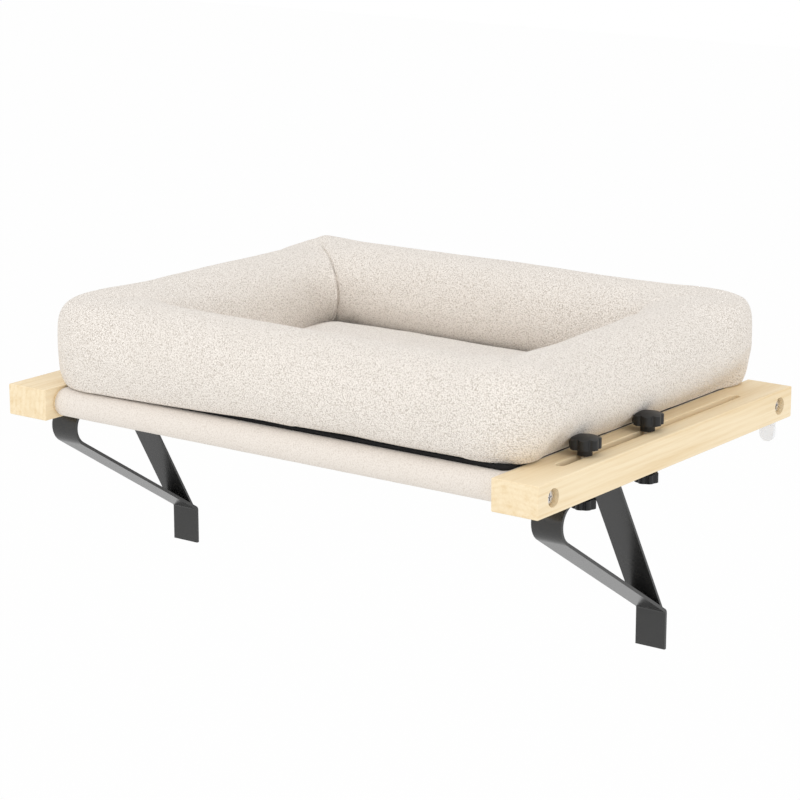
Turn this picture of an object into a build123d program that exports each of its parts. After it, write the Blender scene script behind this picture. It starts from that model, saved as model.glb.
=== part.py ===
from build123d import *
from math import asin, atan2, cos, degrees, hypot, radians, sin, sqrt, tan
import os

# Windowsill cat bed, in millimetres.
# X runs along the bed, Y towards the window and Z up.
# The origin is on the sill's top front edge at mid-width: Z is 0 under the rails
# and Y is 0 on the wall plane that the two bracket feet press against.

# Rails
overall_width = 510.0
rail_length = 366.0
rail_width = 40.0
rail_height = 25.0
rail_edge_radius = 1.0
room_reach = 191.0
slot_width = 8.0
slot_length = 258.0
slot_end_margin = 55.0
slot_edge_radius = 0.8

# Dowels and the screws that hold them
dowel_diameter = 20.0
dowel_setback = 19.5
thread_diameter = 6.0
thread_play = 0.05
screw_length = 50.0
screw_head_diameter = 11.0
screw_head_height = 3.6
counterbore_diameter = 14.0
counterbore_depth = 7.0
screw_hole_play = 0.25
recess_span = 6.0
recess_width = 1.3
recess_depth = 1.8
insert_diameter = 9.0
insert_length = 15.0
screw_tip_room = 1.0

# Sling
sling_thickness = 1.2
sleeve_slack = 0.1
sleeve_seam_run = 30.0
sling_side_gap = 1.5

# Rear stops
stop_width = 13.0
stop_thickness = 3.0
stop_drop = 23.0
stop_rise = 21.0
stop_corner_radius = 6.0
stop_pocket_play = 0.1
stop_screw_diameter = 3.5
stop_screw_length = 14.0
stop_screw_head_diameter = 7.0
stop_screw_head_height = 2.0
stop_screw_spacing = 10.0
stop_slit_width = 0.8

# Brackets
strap_width = 26.0
strap_thickness = 2.5
bracket_reach = 150.0
bracket_drop = 149.0
foot_height = 30.0
nose_radius = 17.0
foot_bend_radius = 2.0
plate_end_gap = 1.5
brace_thickness = 2.0
brace_setback = 73.0
brace_angle = 60.0

# Clamp bolts, knobs and nuts
bolt_spacing = 87.0
rear_bolt_setback = 13.0
bolt_hole_play = 0.3
stud_length = 35.0
stud_grip = 9.0
stud_chamfer = 0.8
knob_diameter = 24.2
knob_valley_diameter = 20.2
knob_lobe_radius = 4.0
knob_lobe_count = 7
knob_hub_diameter = 11.2
knob_hub_height = 5.2
knob_rim_height = 7.4
knob_dome_height = 2.4
knob_edge = 0.5
washer_diameter = 12.5
washer_thickness = 1.2
washer_play = 0.2
nut_diameter = 18.4
nut_valley_diameter = 15.4
nut_lobe_radius = 3.0
nut_lobe_count = 7
nut_hub_diameter = 12.0
nut_hub_height = 3.8
nut_rim_height = 7.2
nut_dome_height = 0.8
nut_insert_length = 9.0
first_lobe_angle = 90.0

# Bed
rail_bare_edge = 15.0
bed_inset = 7.0
bed_rear_overhang = 9.0
base_thickness = 4.0
roll_width = 84.0
roll_height = 68.4
crest_rise = 6.0
roll_belly_height = 35.0
base_side_gap = 1.5
base_corner_radius = 5.0
roll_end_foot = 27.0
roll_inner_foot = 33.0
roll_crest_flat = 5.0
crest_corner_radius = 15.0
mitre_radius = 5.0
pad_edge_height = 14.5
pad_crown_height = 8.5
soft_gap = 0.3

# How sharply the rolls are drawn in below their bellies, and the steps that round them
side_undercut_power = 2.7
end_undercut_power = 0.35
inner_undercut_power = 0.6
crown_power = 2.4
lower_steps = 6
upper_steps = 7
# The pad's crown, as shares of its height and of its half depth
pad_crown_shares = [(0.45, 0.08), (0.8, 0.26), (0.96, 0.5), (1.0, 0.75)]

# One overrun serves every cut
overrun = 5.0

# Places that follow from the sizes above
rail_inner_x = overall_width / 2 - rail_width
rail_centre_x = overall_width / 2 - rail_width / 2
rail_front_y = -room_reach
rail_back_y = rail_front_y + rail_length
stop_front_y = rail_back_y - stop_thickness
dowel_z = rail_height / 2
front_dowel_y = rail_front_y + dowel_setback
rear_dowel_y = rail_back_y - dowel_setback
slot_front_y = rail_front_y + slot_end_margin
front_bolt_y = -rear_bolt_setback - bolt_spacing
rear_bolt_y = -rear_bolt_setback
sling_top_z = dowel_z + dowel_diameter / 2 + sleeve_slack + sling_thickness
roll_z = sling_top_z + base_thickness
bed_depth = rail_length - bed_inset + bed_rear_overhang
crest_x = overall_width / 2 - rail_bare_edge - roll_width / 2
base_half_x = rail_inner_x - base_side_gap
roll_side_foot = base_half_x - crest_x
crest_front_y = rail_front_y + bed_inset + roll_width / 2
crest_y = bed_depth / 2 - roll_width / 2
bed_middle_y = crest_front_y + crest_y


# Small helpers for outlines


def tangent_from(px, py, cx, cy, radius, turn):
    """Point where a line from (px, py) touches a circle; turn is +1 or -1 for the side."""
    distance = hypot(cx - px, cy - py)
    reach = sqrt(distance**2 - radius**2)
    heading = atan2(cy - py, cx - px) + turn * asin(radius / distance)
    return px + reach * cos(heading), py + reach * sin(heading)


def arc_middle(cx, cy, radius, start, end):
    """Point half way along the arc round (cx, cy) between two points on it."""
    a = atan2(start[1] - cy, start[0] - cx)
    b = atan2(end[1] - cy, end[0] - cx)
    while b - a > radians(180):
        b -= radians(360)
    while a - b > radians(180):
        b += radians(360)
    return cx + radius * cos((a + b) / 2), cy + radius * sin((a + b) / 2)


def arc(cx, cy, radius, start, end):
    return ThreePointArc(start, arc_middle(cx, cy, radius, start, end), end)


def cylinder_down(radius, top, bottom):
    """Cylinder on the Z axis between two heights."""
    return Pos(0, 0, (top + bottom) / 2) * Cylinder(radius, top - bottom)


def mirrored(solid):
    """The same piece on the other side of the bed's middle plane."""
    return mirror(solid, about=Plane.YZ)


# Rail: a slotted pine batten with a counterbored screw hole near each end


def make_right_rail():
    middle_y = (rail_front_y + rail_back_y) / 2
    rail = Pos(rail_centre_x, middle_y, rail_height / 2) * Box(rail_width, rail_length, rail_height)
    rail = fillet(rail.edges().filter_by(Axis.Y), rail_edge_radius)
    slot_y = slot_front_y + slot_length / 2
    slot = SlotOverall(slot_length, slot_width, rotation=90)
    rail -= Pos(rail_centre_x, slot_y, -overrun) * extrude(slot, rail_height + 2 * overrun)
    rims = rail.edges().filter_by_position(Axis.X, rail_centre_x - slot_width, rail_centre_x + slot_width)
    rail = fillet(rims.filter_by_position(Axis.Z, rail_height, rail_height), slot_edge_radius)
    hole_radius = thread_diameter / 2 + screw_hole_play
    for y in (front_dowel_y, rear_dowel_y):
        across = Pos(rail_centre_x, y, dowel_z) * Rot(0, 90, 0)
        rail -= across * Cylinder(hole_radius, rail_width + 2 * overrun)
        mouth = Pos(overall_width / 2, y, dowel_z) * Rot(0, 90, 0)
        rail -= mouth * Cylinder(counterbore_diameter / 2, 2 * counterbore_depth)
    return rail


# Dowel: a plain round bar with a blind hole in each end for its threaded insert


def make_dowel(y):
    length = 2 * rail_inner_x
    dowel = Pos(0, y, dowel_z) * Rot(0, 90, 0) * Cylinder(dowel_diameter / 2, length)
    screw_reach = screw_length - (rail_width - counterbore_depth)
    tip_depth = max(screw_reach, insert_length) + screw_tip_room
    for side in (-1, 1):
        mouth = Pos(side * rail_inner_x, y, dowel_z) * Rot(0, 90, 0)
        dowel -= mouth * Cylinder(insert_diameter / 2, 2 * insert_length)
        dowel -= mouth * Cylinder(thread_diameter / 2 + screw_hole_play, 2 * tip_depth)
    return dowel


def make_dowel_inserts():
    ring = Cylinder(insert_diameter / 2, insert_length)
    ring -= Cylinder(thread_diameter / 2 + thread_play, insert_length + 2 * overrun)
    inset = rail_inner_x - insert_length / 2
    places = [(side * inset, y) for side in (-1, 1) for y in (front_dowel_y, rear_dowel_y)]
    return Compound(children=[Pos(x, y, dowel_z) * Rot(0, 90, 0) * ring for x, y in places])


# Rail screw: a pan head with a cross recess, on a plain shank


def make_rail_screws():
    seat_x = overall_width / 2 - counterbore_depth
    head = Cylinder(screw_head_diameter / 2, screw_head_height)
    head = fillet(head.edges().group_by(Axis.Z)[-1], screw_head_height / 3)
    for turn in (0, 90):
        slit = Rot(0, 0, turn) * Box(recess_span, recess_width, 2 * recess_depth)
        head -= Pos(0, 0, screw_head_height / 2) * slit
    shank = Cylinder(thread_diameter / 2, screw_length)
    shank = chamfer(shank.edges().group_by(Axis.Z)[0], stud_chamfer)
    screw = Pos(0, 0, screw_head_height / 2) * head + Pos(0, 0, -screw_length / 2) * shank
    right = [Pos(seat_x, y, dowel_z) * Rot(0, 90, 0) * screw for y in (front_dowel_y, rear_dowel_y)]
    return Compound(children=right + [mirrored(piece) for piece in right])


# Sling: a tight cloth deck whose ends loop round the dowels and are sewn back to its underside


def sleeve_face(radius, dowel_y, inward):
    """Teardrop loop: over the dowel, round its outside and back up to the seam line."""
    seam_y = dowel_y + inward * sleeve_seam_run
    top = (dowel_y, dowel_z + radius)
    seam = (seam_y, dowel_z + radius)
    front = (dowel_y - inward * radius, dowel_z)
    low = tangent_from(seam[0], seam[1], dowel_y, dowel_z, radius, inward)
    edges = [
        Line(top, seam),
        Line(seam, low),
        arc(dowel_y, dowel_z, radius, low, front),
        arc(dowel_y, dowel_z, radius, front, top),
    ]
    return make_face(Wire(edges))


def make_sling():
    inner = dowel_diameter / 2 + sleeve_slack
    outer = inner + sling_thickness
    deck_z = dowel_z + (inner + outer) / 2
    deck_length = rear_dowel_y - front_dowel_y
    middle_y = (rear_dowel_y + front_dowel_y) / 2
    section = Pos(middle_y, deck_z) * Rectangle(deck_length, sling_thickness)
    for y, inward in ((front_dowel_y, 1), (rear_dowel_y, -1)):
        section = section + sleeve_face(outer, y, inward) - sleeve_face(inner, y, inward)
    half = rail_inner_x - sling_side_gap
    return extrude(Plane.YZ * section, half, both=True)


# Rear stop: a clear plastic tongue let flush into the rail's end face that hooks behind the sill


def stop_blank(play, thickness):
    """The tongue's outline, larger all round by a play, from the pocket's bottom backwards."""
    outline = Rectangle(stop_width + 2 * play, stop_rise + stop_drop + 2 * play)
    outline = fillet(outline.vertices(), stop_corner_radius + play)
    middle_z = (stop_rise - stop_drop) / 2
    return Pos(rail_centre_x, stop_front_y, middle_z) * extrude(Plane.XZ * outline, -thickness)


def make_right_stop():
    plate = stop_blank(0, stop_thickness)
    for z in stop_screw_heights():
        hole = Pos(rail_centre_x, rail_back_y, z) * Rot(90, 0, 0)
        plate -= hole * Cylinder(stop_screw_diameter / 2, 2 * stop_thickness + overrun)
    return plate


def stop_screw_heights():
    middle = rail_height / 2
    return [middle - stop_screw_spacing / 2, middle + stop_screw_spacing / 2]


def make_stop_screws():
    shank = Pos(0, 0, -stop_screw_length / 2) * Cylinder(stop_screw_diameter / 2, stop_screw_length)
    head = Cylinder(stop_screw_head_diameter / 2, stop_screw_head_height)
    head = fillet(head.edges().group_by(Axis.Z)[-1], stop_screw_head_height / 3)
    for turn in (0, 90):
        slit = Rot(0, 0, turn) * Box(stop_screw_diameter, stop_slit_width, stop_screw_head_height)
        head -= Pos(0, 0, stop_screw_head_height / 2) * slit
    screw = shank + Pos(0, 0, stop_screw_head_height / 2) * head
    pieces = []
    for side in (-1, 1):
        for z in stop_screw_heights():
            pieces.append(Pos(side * rail_centre_x, rail_back_y, z) * Rot(-90, 0, 0) * screw)
    return Compound(children=pieces)


def cut_stop_pocket(rail):
    rail -= stop_blank(stop_pocket_play, stop_thickness + overrun)
    for z in stop_screw_heights():
        hole = Pos(rail_centre_x, rail_back_y, z) * Rot(90, 0, 0)
        depth = stop_screw_length + screw_tip_room
        rail -= hole * Cylinder(stop_screw_diameter / 2, 2 * depth)
    return rail


# Bracket: one flat strap bent into a top plate, a nose, a diagonal and a foot, and a welded brace


def diagonal_corners():
    """Where the diagonal's lower face would meet the rails' underside, and the foot's front face."""
    foot = (-strap_thickness, -(bracket_drop - foot_height))
    centre = (-bracket_reach + nose_radius, -nose_radius)
    touch = tangent_from(foot[0], foot[1], centre[0], centre[1], nose_radius, 1)
    rise = (touch[1] - foot[1]) / (touch[0] - foot[0])
    nose = (foot[0] - foot[1] / rise, 0)
    return nose, foot


def make_right_strap():
    nose, foot = diagonal_corners()
    path = FilletPolyline(
        (-plate_end_gap, 0),
        nose,
        foot,
        (foot[0], -bracket_drop),
        radius=[nose_radius, foot_bend_radius],
    )
    outline = path.offset_2d(strap_thickness, side=Side.LEFT, closed=True)
    strap = extrude(Plane.YZ * make_face(outline), strap_width / 2, both=True)
    strap = Pos(rail_centre_x, 0, 0) * strap
    for y in (front_bolt_y, rear_bolt_y):
        hole = cylinder_down(thread_diameter / 2 + bolt_hole_play, overrun, -strap_thickness - overrun)
        strap -= Pos(rail_centre_x, y, 0) * hole
    return strap


def make_right_brace():
    nose, foot = diagonal_corners()
    slope = atan2(foot[1] - nose[1], foot[0] - nose[0])
    lift = strap_thickness / cos(slope)
    lean = tan(radians(brace_angle))
    top_z = -strap_thickness

    def foot_of(top_y):
        """Where a face of the brace that leaves the plate at top_y lands on the diagonal."""
        y = (top_z + lean * top_y - nose[1] - lift + tan(slope) * nose[0]) / (lean + tan(slope))
        return y, top_z - lean * (y - top_y)

    front = -brace_setback
    back = front + brace_thickness / sin(radians(brace_angle))
    outline = Polyline((front, top_z), (back, top_z), foot_of(back), foot_of(front), close=True)
    brace = extrude(Plane.YZ * make_face(outline), strap_width / 2, both=True)
    return Pos(rail_centre_x, 0, 0) * brace


# Star knob and star nut: a lobed head on a round hub


def star_face(diameter, valley_diameter, lobe_radius, count):
    """Outline of tangent arcs: convex lobes joined by hollow valleys."""
    outer = diameter / 2
    valley = valley_diameter / 2
    arm = outer - lobe_radius
    half = radians(180 / count)
    top = lobe_radius**2 - arm**2 - valley**2 + 2 * arm * cos(half) * valley
    hollow_radius = top / (2 * (valley - arm * cos(half) - lobe_radius))
    hollow_arm = valley + hollow_radius
    edges = []
    for i in range(count):
        a = radians(first_lobe_angle) + 2 * half * i
        lobe = (arm * cos(a), arm * sin(a))
        meets = []
        for turn in (-1, 1):
            b = a + turn * half
            hollow = (hollow_arm * cos(b), hollow_arm * sin(b))
            share = lobe_radius / (lobe_radius + hollow_radius)
            meets.append(tuple(lobe[k] + (hollow[k] - lobe[k]) * share for k in (0, 1)))
        edges.append(ThreePointArc(meets[0], (outer * cos(a), outer * sin(a)), meets[1]))
        b = a + half
        after = a + 2 * half
        hollow = (hollow_arm * cos(b), hollow_arm * sin(b))
        next_lobe = (arm * cos(after), arm * sin(after))
        share = lobe_radius / (lobe_radius + hollow_radius)
        far = tuple(next_lobe[k] + (hollow[k] - next_lobe[k]) * share for k in (0, 1))
        edges.append(ThreePointArc(meets[1], (valley * cos(b), valley * sin(b)), far))
    return make_face(Wire(edges))


def star_head(diameter, valley_diameter, lobe_radius, count, rim, dome):
    """Lobed head that stands on Z=0, bevelled below and rounded off by a shallow dome."""
    outer = diameter / 2
    ball = (outer**2 + dome**2) / (2 * dome)

    def dome_point(reach):
        return reach, rim + dome - ball + sqrt(ball**2 - reach**2)

    wide = outer + knob_edge
    turned = [
        Line((0, 0), (outer - knob_edge, 0)),
        Line((outer - knob_edge, 0), (wide, 2 * knob_edge)),
        Line((wide, 2 * knob_edge), dome_point(wide)),
        ThreePointArc(dome_point(wide), dome_point(wide / 2), dome_point(0)),
        Line(dome_point(0), (0, 0)),
    ]
    shell = revolve(Plane.XZ * make_face(Wire(turned)), Axis.Z)
    star = star_face(diameter, valley_diameter, lobe_radius, count)
    return shell & extrude(star, rim + dome)


def make_knob():
    """Knob with its hub's underside on Z=0, hollow for the stud that is moulded in."""
    head = star_head(
        knob_diameter,
        knob_valley_diameter,
        knob_lobe_radius,
        knob_lobe_count,
        knob_rim_height,
        knob_dome_height,
    )
    hub = cylinder_down(knob_hub_diameter / 2, knob_hub_height, 0)
    knob = hub + Pos(0, 0, knob_hub_height) * head
    return knob - cylinder_down(thread_diameter / 2, stud_grip, -overrun)


def make_stud():
    """Stud whose plain top is held in the knob and whose tip is chamfered."""
    stud = cylinder_down(thread_diameter / 2, stud_grip, -stud_length)
    return chamfer(stud.edges().group_by(Axis.Z)[0], stud_chamfer)


def make_washer():
    """Flat washer with its upper face on Z=0."""
    washer = cylinder_down(washer_diameter / 2, 0, -washer_thickness)
    return washer - cylinder_down(thread_diameter / 2 + washer_play, overrun, -overrun)


def make_nut():
    """Star nut with its hub's upper face on Z=0, hollow for its threaded insert."""
    head = star_head(
        nut_diameter,
        nut_valley_diameter,
        nut_lobe_radius,
        nut_lobe_count,
        nut_rim_height,
        nut_dome_height,
    )
    hub = cylinder_down(nut_hub_diameter / 2, nut_hub_height, 0)
    nut = Rot(180, 0, 0) * (hub + Pos(0, 0, nut_hub_height) * head)
    return nut - cylinder_down(insert_diameter / 2, overrun, -nut_insert_length)


def make_nut_insert():
    ring = cylinder_down(insert_diameter / 2, 0, -nut_insert_length)
    return ring - cylinder_down(thread_diameter / 2 + thread_play, overrun, -nut_insert_length - overrun)


# Bed: a black base cloth, a bolster ring of four mitred rolls, and a crowned pad sewn in


def roll_reach(foot, undercut_power, height):
    """How far a roll reaches past its crest line at a height above its foot."""
    belly = roll_width / 2
    if height < roll_belly_height:
        swell = sin(radians(90 * height / roll_belly_height)) ** undercut_power
        return foot + (belly - foot) * swell
    rise = (height - roll_belly_height) / (roll_height - roll_belly_height)
    fullness = max(1 - rise**crown_power, 0) ** (1 / crown_power)
    return max(belly * fullness, roll_crest_flat / 2)


def inner_reach(height):
    return roll_reach(roll_inner_foot, inner_undercut_power, height)


def roll_levels():
    """Heights of the sections that shape a roll, closer together towards its crest."""
    lower = [roll_belly_height * i / lower_steps for i in range(lower_steps)]
    rise = roll_height - roll_belly_height
    upper = [roll_belly_height + rise * sin(radians(90 * i / upper_steps)) for i in range(upper_steps + 1)]
    return lower + upper


def level_face(half_x, half_y, corner, height):
    """Rounded rectangle at a height above the base cloth, tilted because the rear roll stands higher."""
    tilt = degrees(atan2(crest_rise * height / roll_height, 2 * crest_y))
    sheet = RectangleRounded(2 * half_x, 2 * half_y, corner)
    return Pos(0, bed_middle_y, roll_z + height) * Rot(tilt, 0, 0) * sheet


def make_bolster():
    """Ring of rolls: bellied and drawn in outside, with mitred corners inside."""
    outside = []
    inside = []
    for height in roll_levels():
        side = roll_reach(roll_side_foot, side_undercut_power, height)
        end = roll_reach(roll_end_foot, end_undercut_power, height)
        outside.append(level_face(crest_x + side, crest_y + end, crest_corner_radius + side, height))
        inner = inner_reach(height)
        inside.append(level_face(crest_x - inner, crest_y - inner, mitre_radius, height))
    return loft(outside, ruled=True) - loft(inside, ruled=True)


def make_base():
    sheet = RectangleRounded(2 * base_half_x, 2 * (crest_y + roll_end_foot), base_corner_radius)
    return Pos(0, bed_middle_y, sling_top_z) * extrude(sheet, base_thickness)


def make_pad():
    """Cushion on the base that fills the ring, tucked under the rolls, with a low crown."""
    levels = []
    for height in (0, pad_edge_height / 2, pad_edge_height):
        levels.append((height, inner_reach(height) + soft_gap))
    edge_inset = levels[-1][1]
    for height_share, inset_share in pad_crown_shares:
        height = pad_edge_height + height_share * pad_crown_height
        levels.append((height, edge_inset + inset_share * (crest_y - edge_inset)))
    faces = [level_face(crest_x - inset, crest_y - inset, mitre_radius, z) for z, inset in levels]
    return loft(faces, ruled=True)


# Assembly: every piece in its own named node

nodes = {}

right_rail = cut_stop_pocket(make_right_rail())
nodes["right_rail"] = right_rail
nodes["left_rail"] = mirrored(right_rail)
nodes["front_dowel"] = make_dowel(front_dowel_y)
nodes["rear_dowel"] = make_dowel(rear_dowel_y)
nodes["dowel_inserts"] = make_dowel_inserts()
nodes["rail_screws"] = make_rail_screws()
nodes["sling"] = make_sling()

right_stop = make_right_stop()
nodes["right_rear_stop"] = right_stop
nodes["left_rear_stop"] = mirrored(right_stop)
nodes["stop_screws"] = make_stop_screws()

right_strap = make_right_strap()
nodes["right_bracket_strap"] = right_strap
nodes["left_bracket_strap"] = mirrored(right_strap)
right_brace = make_right_brace()
nodes["right_bracket_brace"] = right_brace
nodes["left_bracket_brace"] = mirrored(right_brace)

knob = make_knob()
stud = make_stud()
washer = make_washer()
nut = make_nut()
nut_insert = make_nut_insert()
washer_z = -strap_thickness
nut_z = washer_z - washer_thickness
for side_name, side in (("left", -1), ("right", 1)):
    for end_name, y in (("front", front_bolt_y), ("rear", rear_bolt_y)):
        name = f"{side_name}_{end_name}"
        x = side * rail_centre_x
        nodes[f"{name}_knob"] = Pos(x, y, rail_height) * knob
        nodes[f"{name}_stud"] = Pos(x, y, rail_height) * stud
        nodes[f"{name}_washer"] = Pos(x, y, washer_z) * washer
        nodes[f"{name}_nut"] = Pos(x, y, nut_z) * nut
        nodes[f"{name}_nut_insert"] = Pos(x, y, nut_z) * nut_insert

nodes["bed_base"] = make_base()
nodes["bed_bolster"] = make_bolster()
nodes["bed_pad"] = make_pad()

os.makedirs("parts", exist_ok=True)
for name, shape in nodes.items():
    export_step(shape, f"parts/{name}.step")
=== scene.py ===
import math

import bpy
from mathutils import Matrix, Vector, noise


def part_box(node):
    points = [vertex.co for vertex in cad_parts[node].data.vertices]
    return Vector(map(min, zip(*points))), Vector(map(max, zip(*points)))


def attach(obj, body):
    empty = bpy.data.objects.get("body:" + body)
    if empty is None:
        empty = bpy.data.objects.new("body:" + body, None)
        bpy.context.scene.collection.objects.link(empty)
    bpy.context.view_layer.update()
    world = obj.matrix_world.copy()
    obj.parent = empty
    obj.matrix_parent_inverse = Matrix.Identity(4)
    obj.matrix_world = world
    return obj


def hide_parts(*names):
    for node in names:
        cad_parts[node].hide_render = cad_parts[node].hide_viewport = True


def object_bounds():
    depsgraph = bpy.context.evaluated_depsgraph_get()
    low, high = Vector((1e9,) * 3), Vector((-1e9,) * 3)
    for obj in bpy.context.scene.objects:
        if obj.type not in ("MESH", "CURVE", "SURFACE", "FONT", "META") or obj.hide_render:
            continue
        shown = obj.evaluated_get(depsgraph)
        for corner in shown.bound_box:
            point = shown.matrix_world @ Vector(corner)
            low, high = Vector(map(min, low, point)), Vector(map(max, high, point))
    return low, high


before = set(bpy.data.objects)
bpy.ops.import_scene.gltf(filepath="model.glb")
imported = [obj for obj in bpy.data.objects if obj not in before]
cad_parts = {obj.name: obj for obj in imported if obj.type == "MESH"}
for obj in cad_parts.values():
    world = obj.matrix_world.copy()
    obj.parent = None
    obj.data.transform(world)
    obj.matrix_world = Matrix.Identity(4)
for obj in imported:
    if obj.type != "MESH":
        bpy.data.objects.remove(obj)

cad_low, cad_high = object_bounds()

# The view and the studio. The camera is a long lens at the room side, right of the bed and a
# little above it. White walls light the bed evenly, with a broad soft lamp in front and another
# at its right, and the pale floor lies well below, because the bed hangs from its windowsill.

lens_azimuth = math.radians(36.439)
lens_elevation = math.radians(14.050)
lens_distance = 2.0402
lens_length = 122.23
aim = Vector((0.0808, -0.1169, 0.0464))

towards_camera = Vector((
    math.sin(lens_azimuth) * math.cos(lens_elevation),
    -math.cos(lens_azimuth) * math.cos(lens_elevation),
    math.sin(lens_elevation),
))
camera_data = bpy.data.cameras.new("camera")
camera_data.lens = lens_length
camera = bpy.data.objects.new("camera", camera_data)
camera.rotation_mode = "QUATERNION"
camera.location = aim + towards_camera * lens_distance
camera.rotation_quaternion = towards_camera.to_track_quat("Z", "Y")
bpy.context.scene.collection.objects.link(camera)
bpy.context.scene.camera = camera
bpy.context.scene.view_settings.view_transform = "Standard"


def shade(finish, kind, **sockets):
    """Adds a node to a finish and sets its properties and its input sockets by name."""
    made = finish.node_tree.nodes.new("ShaderNode" + kind)
    for name, value in sockets.items():
        if hasattr(made, name):
            setattr(made, name, value)
        else:
            made.inputs[name.replace("_", " ")].default_value = value
    return made


def feed(finish, source, output, target, socket):
    finish.node_tree.links.new(source.outputs[output], target.inputs[socket])


def seen_directly(finish):
    """1 for what the camera, a reflection or a clear piece shows, and 0 for light on things."""
    path = shade(finish, "LightPath")
    mirrored = shade(finish, "Math", operation="ADD", use_clamp=True)
    feed(finish, path, "Is Camera Ray", mirrored, 0)
    feed(finish, path, "Is Glossy Ray", mirrored, 1)
    either = shade(finish, "Math", operation="ADD", use_clamp=True)
    feed(finish, mirrored, 0, either, 0)
    feed(finish, path, "Is Transmission Ray", either, 1)
    return either


wall_light = 0.96
world = bpy.data.worlds.new("white_studio")
bpy.context.scene.world = world
world.use_nodes = True
world.node_tree.nodes.clear()
lit_walls = shade(world, "Background", Color=(1, 1, 1, 1), Strength=wall_light)
white_walls = shade(world, "Background", Color=(1, 1, 1, 1), Strength=1.0)
wall_choice = shade(world, "MixShader")
feed(world, seen_directly(world), 0, wall_choice, 0)
feed(world, lit_walls, 0, wall_choice, 1)
feed(world, white_walls, 0, wall_choice, 2)
feed(world, wall_choice, 0, shade(world, "OutputWorld"), "Surface")

floor_drop = 0.45
floor_reach = 7.0
floor_white_share = 0.95
floor_height = cad_low.z - floor_drop
floor_corners = [
    (x * floor_reach, y * floor_reach, floor_height)
    for x, y in ((-1, -1), (1, -1), (1, 1), (-1, 1))
]
floor_mesh = bpy.data.meshes.new("floor")
floor_mesh.from_pydata(floor_corners, [], [(0, 1, 2, 3)])
floor = bpy.data.objects.new("floor", floor_mesh)
bpy.context.scene.collection.objects.link(floor)
floor_paint = bpy.data.materials.new("floor_paint")
floor_paint.use_nodes = True
floor_paint.node_tree.nodes.clear()
matt_floor = shade(floor_paint, "BsdfDiffuse", Color=(0.86, 0.86, 0.85, 1))
bright_floor = shade(floor_paint, "Emission", Color=(1, 1, 1, 1), Strength=1.0)
floor_share = shade(floor_paint, "Math", operation="MULTIPLY")
floor_share.inputs[1].default_value = floor_white_share
feed(floor_paint, seen_directly(floor_paint), 0, floor_share, 0)
floor_mix = shade(floor_paint, "MixShader")
feed(floor_paint, floor_share, 0, floor_mix, 0)
feed(floor_paint, matt_floor, 0, floor_mix, 1)
feed(floor_paint, bright_floor, 0, floor_mix, 2)
feed(floor_paint, floor_mix, 0, shade(floor_paint, "OutputMaterial"), "Surface")
floor_mesh.materials.append(floor_paint)


def hang_softbox(name, place, width, watts):
    """A square soft lamp at a place, turned to face the bed."""
    lamp = bpy.data.lights.new(name, "AREA")
    lamp.size = width
    lamp.energy = watts
    lamp_object = bpy.data.objects.new(name, lamp)
    lamp_object.location = place
    lamp_object.rotation_mode = "QUATERNION"
    lamp_object.rotation_quaternion = Vector(place).to_track_quat("Z", "Y")
    bpy.context.scene.collection.objects.link(lamp_object)


hang_softbox("front_softbox", (-0.7, -2.4, 1.3), width=1.6, watts=12.5)
hang_softbox("side_softbox", (2.4, -0.6, 0.9), width=1.4, watts=8)

# The two rails are slotted battens of pale pine, sawn with the grain along them and sanded.
# Their outer faces have a stepped hole near each end for a screw, and each rests on the sill.

pine_pale = (0.912, 0.768, 0.535, 1)
pine_deep = (0.77, 0.580, 0.325, 1)
growth_ring = 0.0046
wave_per_ring = 0.314
rail_pith_depth = 0.055
dowel_pith_depth = 0.02
grain_stretch = 0.035


def blank_finish(name):
    """A new material with one Principled shader, which is returned with it."""
    finish = bpy.data.materials.new(name)
    finish.use_nodes = True
    finish.node_tree.nodes.clear()
    surface = shade(finish, "BsdfPrincipled")
    feed(finish, surface, 0, shade(finish, "OutputMaterial"), "Surface")
    return finish, surface


def laid_texture(finish, kind, **sockets):
    """A texture that is laid out in the object's own metres."""
    texture = shade(finish, kind, **sockets)
    feed(finish, shade(finish, "TexCoord"), "Object", texture, "Vector")
    return texture


def raise_grain(finish, surface, texture, output, **sockets):
    """Lets a texture stand up from a surface as a fine relief."""
    relief = shade(finish, "Bump", **sockets)
    feed(finish, texture, output, relief, "Height")
    feed(finish, relief, 0, surface, "Normal")


def mix_colours(finish, surface, amount, output, first, second):
    """Colours a surface between two shades by an amount."""
    colour = shade(finish, "Mix", data_type="RGBA")
    colour.inputs["A"].default_value = first
    colour.inputs["B"].default_value = second
    feed(finish, amount, output, colour, "Factor")
    finish.node_tree.links.new(colour.outputs[2], surface.inputs["Base Color"])


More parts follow.
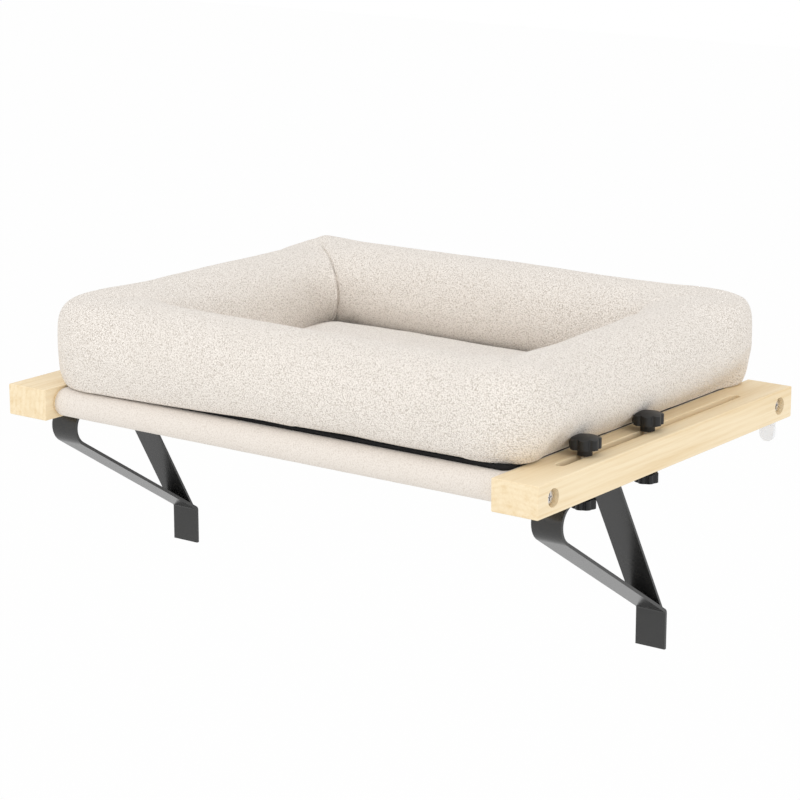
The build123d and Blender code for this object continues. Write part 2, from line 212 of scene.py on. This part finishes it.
def pine_finish(name, along, pith):
    """Sanded pine: growth rings round a pith line beside the batten, and fine streaks along it."""
    finish, surface = blank_finish(name)
    squeeze = [1.0, 1.0, 1.0]
    squeeze[along] = grain_stretch
    laid = laid_texture(finish, "Mapping", Location=pith, Scale=squeeze)
    rings = shade(
        finish,
        "TexWave",
        wave_type="RINGS",
        rings_direction="XYZ"[along],
        Scale=wave_per_ring / growth_ring,
        Distortion=7.0,
        Detail=3.0,
        Detail_Scale=0.6,
    )
    feed(finish, laid, "Vector", rings, "Vector")
    streaks = shade(finish, "TexNoise", Scale=520.0, Detail=5.0, Roughness=0.6)
    feed(finish, laid, "Vector", streaks, "Vector")
    broad = shade(finish, "TexNoise", Scale=110.0, Detail=3.0, Roughness=0.55)
    feed(finish, laid, "Vector", broad, "Vector")
    late_wood = shade(finish, "MapRange", From_Min=0.35, From_Max=1.0, To_Max=0.20)
    feed(finish, rings, "Fac", late_wood, "Value")
    fibre = shade(finish, "MapRange", From_Min=0.45, From_Max=0.72, To_Max=0.38)
    feed(finish, streaks, "Fac", fibre, "Value")
    bands = shade(finish, "MapRange", From_Min=0.44, From_Max=0.66, To_Max=0.36)
    feed(finish, broad, "Fac", bands, "Value")
    fine = shade(finish, "Math", operation="ADD")
    feed(finish, late_wood, 0, fine, 0)
    feed(finish, fibre, 0, fine, 1)
    amount = shade(finish, "Math", operation="ADD", use_clamp=True)
    feed(finish, fine, 0, amount, 0)
    feed(finish, bands, 0, amount, 1)
    mix_colours(finish, surface, amount, 0, pine_pale, pine_deep)
    rough = shade(finish, "MapRange", To_Min=0.48, To_Max=0.66)
    feed(finish, streaks, "Fac", rough, "Value")
    feed(finish, rough, 0, surface, "Roughness")
    raise_grain(finish, surface, fine, 0, Strength=0.35, Distance=0.00015)
    surface.inputs["Specular IOR Level"].default_value = 0.35
    return finish


def dress(node, finish):
    """Gives a CAD node a finish in every one of its slots."""
    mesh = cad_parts[node].data
    mesh.materials.clear()
    mesh.materials.append(finish)


for side, sign in (("left", -1), ("right", 1)):
    low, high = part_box(f"{side}_rail")
    rail_pith = (-sign * (high.x + low.x) / 2, 0, rail_pith_depth)
    dress(f"{side}_rail", pine_finish(f"{side}_rail_pine", 1, rail_pith))

# Two round dowels of the same pine hold the rails apart. A zinc-plated screw runs through each
# rail into a brass insert in the dowel's end, so the four joints can be undone.

for dowel in ("front_dowel", "rear_dowel"):
    low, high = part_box(dowel)
    dowel_pith = (0, -(low.y + high.y) / 2, dowel_pith_depth)
    dress(dowel, pine_finish(f"{dowel}_pine", 0, dowel_pith))


def metal_finish(name, colour, roughness, smudge):
    """Bare or plated metal with faint cloudy smudges in its gloss."""
    finish, surface = blank_finish(name)
    surface.inputs["Base Color"].default_value = colour
    surface.inputs["Metallic"].default_value = 1.0
    cloud = laid_texture(finish, "TexNoise", Scale=420.0, Detail=4.0)
    rough = shade(finish, "MapRange", To_Min=roughness - smudge, To_Max=roughness + smudge)
    feed(finish, cloud, "Fac", rough, "Value")
    feed(finish, rough, 0, surface, "Roughness")
    raise_grain(finish, surface, cloud, "Fac", Strength=0.15, Distance=0.0001)
    return finish


zinc_plate = metal_finish("zinc_plate", (0.78, 0.78, 0.80, 1), roughness=0.30, smudge=0.10)
turned_brass = metal_finish("turned_brass", (0.74, 0.56, 0.27, 1), roughness=0.34, smudge=0.08)
dress("rail_screws", zinc_plate)
dress("dowel_inserts", turned_brass)

# The sling is one length of cream cloth, stretched between the dowels. Each of its ends loops
# round a dowel as a sleeve and is sewn back to the underside of the deck.

sling_low, sling_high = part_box("sling")
front_dowel_low, front_dowel_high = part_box("front_dowel")
rear_dowel_low, rear_dowel_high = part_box("rear_dowel")
cloth_thickness = 0.0011
dowel_play = 0.0001
cloth_middle = 0.0006
loop_radius = (front_dowel_high.z - front_dowel_low.z) / 2 + dowel_play + cloth_middle
dowel_height = (front_dowel_high.z + front_dowel_low.z) / 2
front_axis = (front_dowel_low.y + front_dowel_high.y) / 2
rear_axis = (rear_dowel_low.y + rear_dowel_high.y) / 2
seam_run = 0.030
sling_half = (sling_high.x - sling_low.x) / 2
cloth_step = 0.004
loop_turns = 26
loop_wrap = math.radians(270)
ripple_height = 0.00018
gather_reach = 0.012


def walk(points, step):
    """Points spaced evenly along a line of points, about a step apart, with both ends kept."""
    lengths = [(b - a).length for a, b in zip(points, points[1:])]
    total = sum(lengths)
    count = max(1, round(total / step))
    walked = []
    for i in range(count + 1):
        reach = total * i / count
        for (a, b), length in zip(zip(points, points[1:]), lengths):
            if reach <= length or b is points[-1]:
                walked.append(a.lerp(b, min(1, reach / length) if length else 0))
                break
            reach -= length
    return walked, total


def sleeve_loop(axis_y, inward):
    """Loop of the sling round a dowel in Y and Z, from the seam under the deck up to its top."""
    deck = Vector((0, axis_y, dowel_height + loop_radius))
    seam = Vector((0, axis_y + inward * seam_run, dowel_height + loop_radius - cloth_thickness))
    reach = (seam.yz - Vector((axis_y, dowel_height))).length
    lean = math.atan2(seam.z - dowel_height, inward * (seam.y - axis_y))
    first = lean - math.acos(loop_radius / reach)
    loop = [seam]
    for i in range(loop_turns + 1):
        angle = first - (first + loop_wrap) * i / loop_turns
        loop.append(Vector((
            0,
            axis_y + inward * loop_radius * math.cos(angle),
            dowel_height + loop_radius * math.sin(angle),
        )))
    loop[-1] = deck
    return loop


sling_line = sleeve_loop(front_axis, 1) + sleeve_loop(rear_axis, -1)[::-1]
sling_points, sling_length = walk(sling_line, cloth_step)
across_count = round(2 * sling_half / cloth_step)


def sling_pucker(x, point):
    """Small ripples that gather at the sleeves' seams and fade over the deck."""
    below = point.z < dowel_height + loop_radius - cloth_thickness / 3
    near = min(abs(point.y - front_axis - seam_run), abs(point.y - rear_axis + seam_run))
    gather = math.exp(-(near / gather_reach) ** 2)
    wander = noise.noise(Vector((x * 55, point.y * 20, point.z * 20)))
    return ripple_height * wander * (1 + 1.6 * gather) * (1 if below else 0.35)


sling_verts, sling_faces = [], []
cloth_width = 2 * sling_half - cloth_thickness
for point in sling_points:
    for j in range(across_count + 1):
        x = -sling_half + cloth_thickness / 2 + cloth_width * j / across_count
        sling_verts.append((x, point.y, point.z - abs(sling_pucker(x, point))))
for i in range(len(sling_points) - 1):
    for j in range(across_count):
        a = i * (across_count + 1) + j
        sling_faces.append((a, a + 1, a + across_count + 2, a + across_count + 1))


def make_piece(name, verts, faces, finish, body):
    """A smooth mesh piece of one finish that rides on a body."""
    mesh = bpy.data.meshes.new(name)
    mesh.from_pydata(verts, [], faces)
    mesh.validate()
    mesh.materials.append(finish)
    mesh.polygons.foreach_set("use_smooth", [True] * len(mesh.polygons))
    piece = bpy.data.objects.new(name, mesh)
    bpy.context.scene.collection.objects.link(piece)
    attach(piece, body)
    return piece


# The loops lie askew to the bed's axes, so that no row of them shows as a band
loop_tilt = (0.55, 0.35, 0.80)


def cream_finish(name, lit, gap_shade, pitch, scatter, relief_depth, fleck):
    """Cream upholstery cloth: plump little loops of one pitch, uneven, with painted shade in the
    soft gaps between.
    """
    finish, surface = blank_finish(name)
    loops = laid_texture(finish, "Mapping", Rotation=loop_tilt, Scale=(1 / pitch,) * 3)
    pebble = shade(finish, "TexVoronoi", feature="F1", Scale=1.0, Randomness=scatter)
    feed(finish, loops, "Vector", pebble, "Vector")
    cloud = laid_texture(finish, "TexNoise", Scale=26.0, Detail=2.0)
    plump = shade(finish, "MapRange", From_Min=0.34, From_Max=0.98, To_Min=1.0, To_Max=0.0)
    feed(finish, pebble, "Distance", plump, "Value")
    spread = shade(finish, "SeparateColor")
    feed(finish, pebble, "Color", spread, 0)
    uneven = shade(finish, "MapRange", To_Min=1.0 - fleck, To_Max=1.0)
    feed(finish, spread, 0, uneven, "Value")
    cloudy = shade(finish, "MapRange", From_Min=0.3, From_Max=0.7, To_Min=0.94, To_Max=1.0)
    feed(finish, cloud, "Fac", cloudy, "Value")
    level = shade(finish, "Math", operation="MULTIPLY")
    feed(finish, uneven, 0, level, 0)
    feed(finish, cloudy, 0, level, 1)
    lit_share = shade(finish, "Math", operation="MULTIPLY")
    feed(finish, plump, 0, lit_share, 0)
    feed(finish, level, 0, lit_share, 1)
    # Painted shade: the gaps between the loops take the darker colour, which stands in for the
    # shade that falls in them
    mix_colours(finish, surface, lit_share, 0, gap_shade, lit)
    raise_grain(finish, surface, lit_share, 0, Strength=0.9, Distance=relief_depth)
    surface.inputs["Roughness"].default_value = 0.92
    surface.inputs["Specular IOR Level"].default_value = 0.15
    surface.inputs["Sheen Weight"].default_value = 0.15
    surface.inputs["Sheen Roughness"].default_value = 0.6
    return finish


sling_cloth = cream_finish(
    "sling_cloth",
    lit=(0.845, 0.785, 0.722, 1),
    # The darker gap colour is painted shade between the sling's loops
    gap_shade=(0.670, 0.605, 0.540, 1),
    pitch=0.0010,
    scatter=0.9,
    relief_depth=0.00015,
    fleck=0.10,
)
sling = make_piece("cloth_sling", sling_verts, sling_faces, sling_cloth, "frame")
thickness = sling.modifiers.new("thickness", "SOLIDIFY")
thickness.thickness = cloth_thickness
thickness.offset = 0
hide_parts("sling")

# Each rear stop is a tongue of clear moulded plastic, fixed to the rail's end by two small screws.
# It hooks down behind the windowsill and keeps the bed from being pulled into the room.

clear_plastic, clear_surface = blank_finish("clear_plastic")
clear_surface.inputs["Base Color"].default_value = (0.86, 0.87, 0.90, 1)
clear_surface.inputs["Roughness"].default_value = 0.18
clear_surface.inputs["IOR"].default_value = 1.49
clear_surface.inputs["Alpha"].default_value = 0.42
moulding = laid_texture(clear_plastic, "TexNoise", Scale=90.0, Detail=2.0)
raise_grain(clear_plastic, clear_surface, moulding, "Fac", Strength=0.2, Distance=0.0002)
dress("left_rear_stop", clear_plastic)
dress("right_rear_stop", clear_plastic)
dress("stop_screws", zinc_plate)

# Each bracket is a strap of flat steel, bent round a nose and down to a foot, with a flat brace
# welded inside it. Both are powder coated in a smooth satin near-black, which mirrors softly.

powder_coat, powder_surface = blank_finish("powder_coat")
powder_surface.inputs["Roughness"].default_value = 0.25
powder_surface.inputs["IOR"].default_value = 1.5
satin_black = (0.023, 0.023, 0.0225, 1)
satin_grey = (0.031, 0.031, 0.0305, 1)
powder_grain = laid_texture(powder_coat, "TexNoise", Scale=1500.0, Detail=3.0, Roughness=0.6)
powder_cloud = laid_texture(powder_coat, "TexNoise", Scale=60.0, Detail=3.0)
mix_colours(powder_coat, powder_surface, powder_cloud, "Fac", satin_black, satin_grey)
raise_grain(powder_coat, powder_surface, powder_grain, "Fac", Strength=0.12, Distance=0.00008)
for side in ("left", "right"):
    dress(f"{side}_bracket_strap", powder_coat)
    dress(f"{side}_bracket_brace", powder_coat)

# Each clamp bolt is a star knob of black plastic moulded on a plated stud. It drops through the
# rail's slot and the bracket, and a smaller star nut with a brass insert pulls up on a washer.

knob_plastic, knob_surface = blank_finish("knob_plastic")
knob_surface.inputs["Base Color"].default_value = (0.012, 0.012, 0.012, 1)
knob_surface.inputs["Roughness"].default_value = 0.42
knob_surface.inputs["Specular IOR Level"].default_value = 0.40
knob_grain = laid_texture(knob_plastic, "TexNoise", Scale=2400.0, Detail=2.0)
raise_grain(knob_plastic, knob_surface, knob_grain, "Fac", Strength=0.2, Distance=0.00008)
for side in ("left", "right"):
    for end in ("front", "rear"):
        dress(f"{side}_{end}_knob", knob_plastic)
        dress(f"{side}_{end}_nut", knob_plastic)
        dress(f"{side}_{end}_stud", zinc_plate)
        dress(f"{side}_{end}_washer", zinc_plate)
        dress(f"{side}_{end}_nut_insert", turned_brass)

# The bed's base is a flat panel of black non-slip cloth that drops between the rails on to the
# sling. The bolster is sewn to its edge, so it shows as a thin dark line below the rolls.

base_low, base_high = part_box("bed_base")
base_corners = (0.006, 0.024)
base_round = 0.0012

# The panel's edge from below to above: inset in edge rounds, and share of the height
base_profile = ((1.6, 0.0), (0.35, 0.10), (0.0, 0.38), (0.0, 0.62), (0.35, 0.90), (1.6, 1.0))


def rounded_outline(half_x, half_y, corners, corner_steps, straight_step):
    """Points round a rounded rectangle, anticlockwise, with a front and a rear corner radius."""
    centres = ((1, -1), (1, 1), (-1, 1), (-1, -1))
    turned = []
    for (sx, sy), start in zip(centres, (-90, 0, 90, 180)):
        corner = corners[0 if sy < 0 else 1]
        for i in range(corner_steps + 1):
            angle = math.radians(start + 90 * i / corner_steps)
            turned.append(Vector((
                sx * (half_x - corner) + corner * math.cos(angle),
                sy * (half_y - corner) + corner * math.sin(angle),
            )))
    outline = []
    for a, b in zip(turned, turned[1:] + turned[:1]):
        steps = max(1, round((b - a).length / straight_step))
        outline += [a.lerp(b, i / steps) for i in range(steps)]
    return outline


def stack_outlines(levels):
    """Closed solid from outlines with as many points each, capped at both ends."""
    count = len(levels[0])
    stacked = [point for level in levels for point in level]
    walls = []
    for i in range(len(levels) - 1):
        for j in range(count):
            k = (j + 1) % count
            walls.append((i * count + j, i * count + k, (i + 1) * count + k, (i + 1) * count + j))
    walls.append(tuple(range(count - 1, -1, -1)))
    walls.append(tuple(range((len(levels) - 1) * count, len(levels) * count)))
    return stacked, walls


base_centre = (base_low + base_high) / 2
base_half = (base_high - base_low) / 2
base_levels = []
for inset_share, height_share in base_profile:
    inset = base_round * inset_share
    inset_corners = [corner - inset / 2 for corner in base_corners]
    ring = rounded_outline(
        base_half.x - inset,
        base_half.y - inset,
        inset_corners,
        corner_steps=8,
        straight_step=0.02,
    )
    level_z = base_low.z + (base_high.z - base_low.z) * height_share
    base_levels.append([(base_centre.x + p.x, base_centre.y + p.y, level_z) for p in ring])
base_verts, base_faces = stack_outlines(base_levels)
base_cloth, base_surface = blank_finish("base_cloth")
base_surface.inputs["Base Color"].default_value = (0.012, 0.012, 0.013, 1)
base_surface.inputs["Roughness"].default_value = 0.85
base_surface.inputs["Specular IOR Level"].default_value = 0.2
grip_dots = laid_texture(base_cloth, "TexVoronoi", Scale=160.0, Randomness=0.0)
raise_grain(
    base_cloth,
    base_surface,
    grip_dots,
    "Distance",
    Strength=0.5,
    Distance=0.0006,
    invert=True,
)
bed_base = make_piece("base_panel", base_verts, base_faces, base_cloth, "bed")
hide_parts("bed_base")

# The bolster is a ring of four stuffed rolls of cream boucle, cut with mitred ends and sewn
# together there. The seams pull in and the rolls swell beside them, and all are drawn in below.

bolster_low, bolster_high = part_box("bed_bolster")
roll_half = 0.042
rear_rise = 0.006
crest_half_x = bolster_high.x - roll_half
crest_half_y = (bolster_high.y - bolster_low.y) / 2 - roll_half
bolster_middle_y = (bolster_high.y + bolster_low.y) / 2
roll_height = bolster_high.z - bolster_low.z - rear_rise / 2
belly_height = 0.035
base_edge_end = base_half.y - crest_half_y
base_edge_side = base_half.x - crest_half_x
hem_inset = 0.002
hem_step = 0.0006
swell_room = 0.0009
swell_steps = 20

# Each roll's foot inside the nest, as reach from the crest line, and how soon the inside leans
# out from it: late on the rear roll, whose lower half is undercut
inner_feet = {"front": 0.0335, "right": 0.0345, "rear": 0.0245, "left": 0.0365}
inner_curves = {"front": 0.6, "right": 0.6, "rear": 1.4, "left": 0.7}

# Each roll in the order in which the ring runs: its half length, the offset of its crest line
# from the middle, and the directions along it and out of it
roll_places = [
    ("front", crest_half_x, crest_half_y, Vector((1, 0)), Vector((0, -1))),
    ("right", crest_half_y, crest_half_x, Vector((0, 1)), Vector((1, 0))),
    ("rear", crest_half_x, crest_half_y, Vector((-1, 0)), Vector((0, 1))),
    ("left", crest_half_y, crest_half_x, Vector((0, -1)), Vector((-1, 0))),
]

# At these shares along each roll, in millimetres: how far the stuffing lifts the crest, and on
# the front and rear rolls also the lip under it, and how far out their foot reaches
spot_shares = (0.0, 0.1, 0.3, 0.5, 0.7, 0.9, 1.0)
crest_lifts = {
    "front": (0.5, -1.6, -2.6, -3.6, -3.2, -1.8, 1.5),
    "right": (1.5, -2.0, -3.6, -2.0, 0.8, 2.6, 3.2),
    "rear": (3.2, 3.8, 3.1, 3.3, 3.2, 3.2, 3.8),
    "left": (0.2, -2.4, -3.0, -3.6, -2.4, 0.8, 0.4),
}
lip_lifts = {
    "front": (-3.4, -2.7, -1.2, 0.2, 1.0, 1.3, -0.4),
    "rear": (-2.6, -1.6, 0.0, 0.0, 0.0, 0.0, -0.8),
}
foot_reaches = {
    "front": (34.5, 33.5, 32.0, 31.5, 31.5, 31.5, 28.0),
    "rear": (36.0, 35.0, 34.0, 34.0, 34.0, 34.0, 32.0),
}

# The side rolls keep one lip and one foot between their ends: at the start, between, at the end
side_lips = {"right": (-0.6, -2.0, -2.2), "left": (-0.8, -2.0, -3.4)}
side_feet = {"right": (28.0, 17.0, 36.0), "left": (32.0, 17.0, 34.5)}

# Each corner is named after the roll that starts there: how round the crest line turns, how far
# its seam pulls in, how much of that is left at the crest, how far the crest peaks there, and
# how square the crown is
crest_rounds = {"front": 0.012, "right": 0.013, "rear": 0.022, "left": 0.015}
valley_round = 0.004
seam_depths = {"front": 1.3, "right": 0.8, "rear": 0.9, "left": 5.0}
crest_seam_shares = {"front": 0.9, "right": 0.35, "rear": 0.35, "left": 0.0}
seam_peaks = {"front": 0.0, "right": 0.0, "rear": 0.0, "left": 3.2}
seam_peak_reach = 0.006
crown_powers = {"front": 3.7, "right": 2.9, "rear": 5.3, "left": 2.9}
middle_crown = 2.4
narrow_seam = 0.0035
wide_seam = 0.012
seam_stations = (0, 0.0014, 0.0032, 0.0056, 0.0088, 0.0126)
station_step = 0.0048

# The left roll's end bulges over the rear roll inside their corner, so that the crease between
# them lies to its right
corner_bulge = 0.013
bulge_reaches = {"left": 0.020, "rear": 0.011}
bulge_fade = 0.025

# The outside below the belly, as shares of the way out from the foot at these shares of the rise:
# full over the ends, and drawn in over the rails to leave room for the knobs
rise_shares = (0.0, 0.17, 0.345, 0.51, 0.68, 0.84, 1.0)
full_swell = (0.0, 0.46, 0.71, 0.86, 0.95, 0.99, 1.0)
drawn_swell = (0.0, 0.16, 0.35, 0.57, 0.78, 0.93, 1.0)
corner_reach = 0.05
boxy_reach = 0.015
belly_change = 0.003
millimetre = 0.001

# Points round the section: up the outside, over the crest, down the inside and back along the base
section_counts = (12, 13, 13, 10, 12)


def ease(value):
    value = min(max(value, 0), 1)
    return value * value * (3 - 2 * value)


def along_table(row, share):
    """Smooth value between the entries of a row that belong to the spot shares, in metres."""
    for i in range(len(spot_shares) - 1):
        if share <= spot_shares[i + 1]:
            part = ease((share - spot_shares[i]) / (spot_shares[i + 1] - spot_shares[i]))
            return (row[i] + (row[i + 1] - row[i]) * part) * millimetre
    return row[-1] * millimetre


def swell_share(row, share):
    """Value of a row at a share of the rise, on a curve that runs through all its entries."""
    i = min(sum(1 for edge in rise_shares[1:] if share > edge), len(rise_shares) - 2)
    slopes = []
    for k in (i, i + 1):
        before, after = max(k - 1, 0), min(k + 1, len(row) - 1)
        slopes.append((row[after] - row[before]) / (rise_shares[after] - rise_shares[before]))
    slopes[1] = slopes[1] if i < len(row) - 2 else 0
    run = rise_shares[i + 1] - rise_shares[i]
    t = (share - rise_shares[i]) / run
    return (
        (2 * t ** 3 - 3 * t ** 2 + 1) * row[i]
        + (t ** 3 - 2 * t ** 2 + t) * run * slopes[0]
        + (3 * t ** 2 - 2 * t ** 3) * row[i + 1]
        + (t ** 3 - t ** 2) * run * slopes[1]
    )


def roll_section(foot, lip, edge, inner_foot, inner_curve, full, belly, top, crown_power):
    """Closed section of a roll as pairs: reach past the crest line, and height above the base."""
    outer_low, outer_high, inner_high, inner_low, flat = section_counts
    section = []
    for i in range(outer_low):
        rise = i / outer_low
        full_share = full * swell_share(full_swell, rise)
        out_share = full_share + (1 - full) * swell_share(drawn_swell, rise)
        section.append((foot + (roll_half - foot) * out_share, lip + (belly - lip) * rise))
    for i in range(outer_high + inner_high):
        angle = math.radians(90 * i / outer_high)
        swing = math.cos(angle)
        section.append((
            math.copysign(roll_half * abs(swing) ** (2 / crown_power), swing),
            belly + (top - belly) * math.sin(angle) ** (2 / crown_power),
        ))
    for i in range(inner_low):
        rise = 1 - i / inner_low
        out_share = math.sin(math.radians(90 * rise)) ** inner_curve
        section.append((-(inner_foot + (roll_half - inner_foot) * out_share), belly * rise))
    for i in range(flat - 3):
        section.append((-inner_foot + (inner_foot + edge - hem_inset) * i / (flat - 4), 0))
    section.append((edge + hem_step, 0.15 * lip))
    section.append((edge + 2 * hem_step, 0.80 * lip))
    section.append(((edge + 2 * hem_step + foot) / 2, lip))
    return section


section_size = sum(section_counts)


def station_spots(length):
    """Distances from one mitre seam to the next, closer together beside the seams."""
    first = seam_stations[-1]
    count = round((length - 2 * first) / station_step)
    middle = [first + (length - 2 * first) * i / count for i in range(1, count)]
    return [*seam_stations, *middle, *(length - spot for spot in reversed(seam_stations[1:]))]


def along_roll(share, half, reach, crest_round):
    """Place on a roll's offset line at a share from -1 to 1: along it, and out of its middle."""
    corner = max(crest_round + reach, valley_round)
    straight = half + reach - corner
    bend_share = 0.5 * math.radians(45) * crest_round / (half - crest_round)
    turn_start = 1 - 2 * bend_share
    size = abs(share)
    if size <= turn_start:
        along, out = straight * size / turn_start, reach
    else:
        turn = math.radians(45) * (size - turn_start) / (1 - turn_start)
        along = straight + corner * math.sin(turn)
        out = reach - corner * (1 - math.cos(turn))
    return math.copysign(along, share), out


def station_section(number, spot):
    """Section of one roll at a distance from its first seam, with its lifts and seam groove."""
    roll, half = roll_places[number][:2]
    next_roll = roll_places[(number + 1) % 4][0]
    near_end = next_roll if spot > half else roll
    share = spot / (2 * half)
    from_seam = min(spot, 2 * half - spot)
    corner = 1 - ease(from_seam / corner_reach)
    if roll in ("front", "rear"):
        boxy = 1.0
        lip = along_table(lip_lifts[roll], share)
        foot = along_table(foot_reaches[roll], share)
    else:
        boxy = 1 - ease(from_seam / boxy_reach)
        end = 0 if share < 0.5 else -1
        middle_lip = side_lips[roll][1] * millimetre
        middle_foot = side_feet[roll][1] * millimetre
        lip = middle_lip + (side_lips[roll][end] * millimetre - middle_lip) * boxy
        foot = middle_foot + (side_feet[roll][end] * millimetre - middle_foot) * boxy
    edge = base_edge_side + (base_edge_end - base_edge_side) * boxy
    belly = belly_height - belly_change * corner + belly_change * (1 - boxy)
    peak = seam_peaks[near_end] * millimetre * math.exp(-(from_seam / seam_peak_reach) ** 2)
    top = roll_height + along_table(crest_lifts[roll], share) + peak
    crown_power = middle_crown + (crown_powers[near_end] - middle_crown) * corner
    neighbour = roll_places[(number + (1 if spot > half else -1)) % 4][0]
    inner_foot = inner_feet[roll] + (inner_feet[neighbour] - inner_feet[roll]) * corner / 2
    inner_curve = inner_curves[roll] + (inner_curves[neighbour] - inner_curves[roll]) * corner / 2
    edge = min(edge, foot - 0.003)
    section = roll_section(foot, lip, edge, inner_foot, inner_curve, boxy, belly, top, crown_power)
    seam_depth = seam_depths[near_end] * millimetre
    crest_share = crest_seam_shares[near_end]
    seam_width = wide_seam if roll == "rear" and spot > half else narrow_seam
    groove = seam_depth * math.exp(-(from_seam / seam_width) ** 2)
    grooved = []
    for out, z in section:
        inside = ease((0.004 - out) / 0.022)
        held = ease((z - 0.004) / 0.02) * (crest_share + (1 - crest_share) * inside)
        away = Vector((out, z - belly)).normalized() if z > 0 else Vector((0, 0))
        grooved.append((out - away.x * groove * held, z - away.y * groove * held))
    return grooved


bolster_verts, seam_verts, base_verts_held = [], [], []
station_lines = []
for number, (roll, half, offset, ahead, outward) in enumerate(roll_places):
    for spot in station_spots(2 * half)[:-1]:
        near_end = roll_places[(number + 1) % 4][0] if spot > half else roll
        line = []
        for out, z in station_section(number, spot):
            along, reach = along_roll(spot / half - 1, half, out, crest_rounds[near_end])
            flat = ahead * along + outward * (offset + reach)
            if near_end == "left":
                from_seam = min(spot, 2 * half - spot)
                rise = min(max(z / roll_height, 0), 1)
                inside = ease(-out / bulge_fade) * math.sin(math.pi * rise) ** 0.7
                flat.x += corner_bulge * inside * math.exp(-(from_seam / bulge_reaches[roll]) ** 2)
            line.append(len(bolster_verts))
            bolster_verts.append(Vector((flat.x, flat.y + bolster_middle_y, bolster_low.z + z)))
            if spot == 0:
                seam_verts.append(line[-1])
            elif z <= 0.0004 and out > -0.032:
                base_verts_held.append(line[-1])
        station_lines.append(line)

bolster_faces = []
for i, line in enumerate(station_lines):
    following = station_lines[(i + 1) % len(station_lines)]
    for k in range(section_size):
        m = (k + 1) % section_size
        bolster_faces.append((line[k], following[k], following[m], line[m]))

boucle = cream_finish(
    "boucle",
    lit=(0.980, 0.922, 0.858, 1),
    # The darker gap colour is painted shade between the boucle's loops
    gap_shade=(0.570, 0.510, 0.445, 1),
    pitch=0.00115,
    scatter=0.90,
    relief_depth=0.00070,
    fleck=0.12,
)
bolster = make_piece("bolster_cover", bolster_verts, bolster_faces, boucle, "bed")


def set_places(piece, places):
    """Writes a mesh's vertex places in one go."""
    piece.data.vertices.foreach_set("co", [value for place in places for value in place])
    piece.data.update()


def lump(piece, coarse, fine, seed):
    """Moves the cover in and out along its normals, as uneven stuffing does."""
    shift = Vector((seed, seed * 2.3, -seed))
    places = [vertex.co.copy() for vertex in piece.data.vertices]
    normals = [vertex.normal.copy() for vertex in piece.data.vertices]
    for place, normal in zip(places, normals):
        big = noise.noise(place * 14 + shift)
        small = noise.noise(place * 42 - shift)
        place += normal * (coarse * big + fine * small)
    set_places(piece, places)


def swell(piece, held, room, pressure, cap, stiffness):
    """Blows the cover up from a slightly smaller shape, its seams held, and keeps the result."""
    mesh = piece.data
    kept = set(held)
    start = [
        vertex.co - vertex.normal * (0 if vertex.index in kept else room)
        for vertex in mesh.vertices
    ]
    set_places(piece, start)
    group = piece.vertex_groups.new(name="sewn")
    group.add(held, 1.0, "REPLACE")
    cloth = piece.modifiers.new("stuffing", "CLOTH")
    cloth.settings.quality = 6
    cloth.settings.mass = 0.25
    cloth.settings.tension_stiffness = stiffness
    cloth.settings.compression_stiffness = stiffness
    cloth.settings.shear_stiffness = stiffness / 3
    cloth.settings.bending_stiffness = 0.6
    cloth.settings.use_pressure = True
    cloth.settings.uniform_pressure_force = pressure
    cloth.settings.effector_weights.gravity = 0
    cloth.settings.vertex_group_mass = "sewn"
    cloth.point_cache.frame_start = 1
    cloth.point_cache.frame_end = swell_steps
    for step in range(1, swell_steps + 1):
        bpy.context.scene.frame_set(step)
    blown = piece.evaluated_get(bpy.context.evaluated_depsgraph_get()).to_mesh()
    moves = [vertex.co - place for vertex, place in zip(blown.vertices, start)]
    piece.to_mesh_clear()
    piece.modifiers.remove(cloth)
    piece.vertex_groups.remove(group)
    capped = [move * min(1, cap / max(move.length, 1e-9)) for move in moves]
    set_places(piece, [place + move for place, move in zip(start, capped)])
    bpy.context.scene.frame_set(1)


lump(bolster, coarse=0.0011, fine=0.0003, seed=3.7)
swell(
    bolster,
    seam_verts + base_verts_held,
    swell_room,
    pressure=3.0,
    cap=0.0052,
    stiffness=14,
)
soften = bolster.modifiers.new("soften", "SUBSURF")
soften.levels = 1
soften.render_levels = 1
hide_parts("bed_bolster")

# The pad is a loose stuffed cushion of the same boucle that fills the ring. Its edges tuck down
# under the rolls, so its middle stands as a low crown and its border dips against their sides.

pad_low, pad_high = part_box("bed_pad")
pad_half = (pad_high - pad_low) / 2
pad_centre = (pad_high + pad_low) / 2
pad_edge = 0.0125
pad_corner = 0.012
pad_rings = 26
first_inset = 0.0105
last_reach = 0.004
edge_drop = 0.002
dome_power = 3.2

# The pad's edge from below up, as share of its half depth inwards and as height, then its dome
pad_side = ((0.10, 0.0), (0.03, 0.0004), (0.0, 0.0035), (0.012, 0.0085))
pad_levels = [(pad_half.y * inset_share, height) for inset_share, height in pad_side]
for i in range(pad_rings):
    share = i / (pad_rings - 1)
    inset = first_inset + (pad_half.y - first_inset - last_reach) * share
    dome = 1 - (1 - share) ** dome_power
    rise = (pad_high.z - pad_low.z - pad_edge + edge_drop) * dome
    pad_levels.append((inset, pad_edge - edge_drop + rise))
pad_outline = rounded_outline(
    pad_half.x,
    pad_half.y,
    (pad_corner, pad_corner),
    corner_steps=6,
    straight_step=0.0052,
)
pad_rows = []
for inset, height in pad_levels:
    reach_x = 1 - inset / pad_half.x
    reach_y = 1 - inset / pad_half.y
    pad_rows.append([
        (pad_centre.x + p.x * reach_x, pad_centre.y + p.y * reach_y, pad_low.z + height)
        for p in pad_outline
    ])
pad_verts, pad_faces = stack_outlines(pad_rows)
pad = make_piece("pad_cover", pad_verts, pad_faces, boucle, "bed")
lump(pad, coarse=0.0012, fine=0.0004, seed=8.1)
pad_soften = pad.modifiers.new("soften", "SUBSURF")
pad_soften.levels = 1
pad_soften.render_levels = 1
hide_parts("bed_pad")
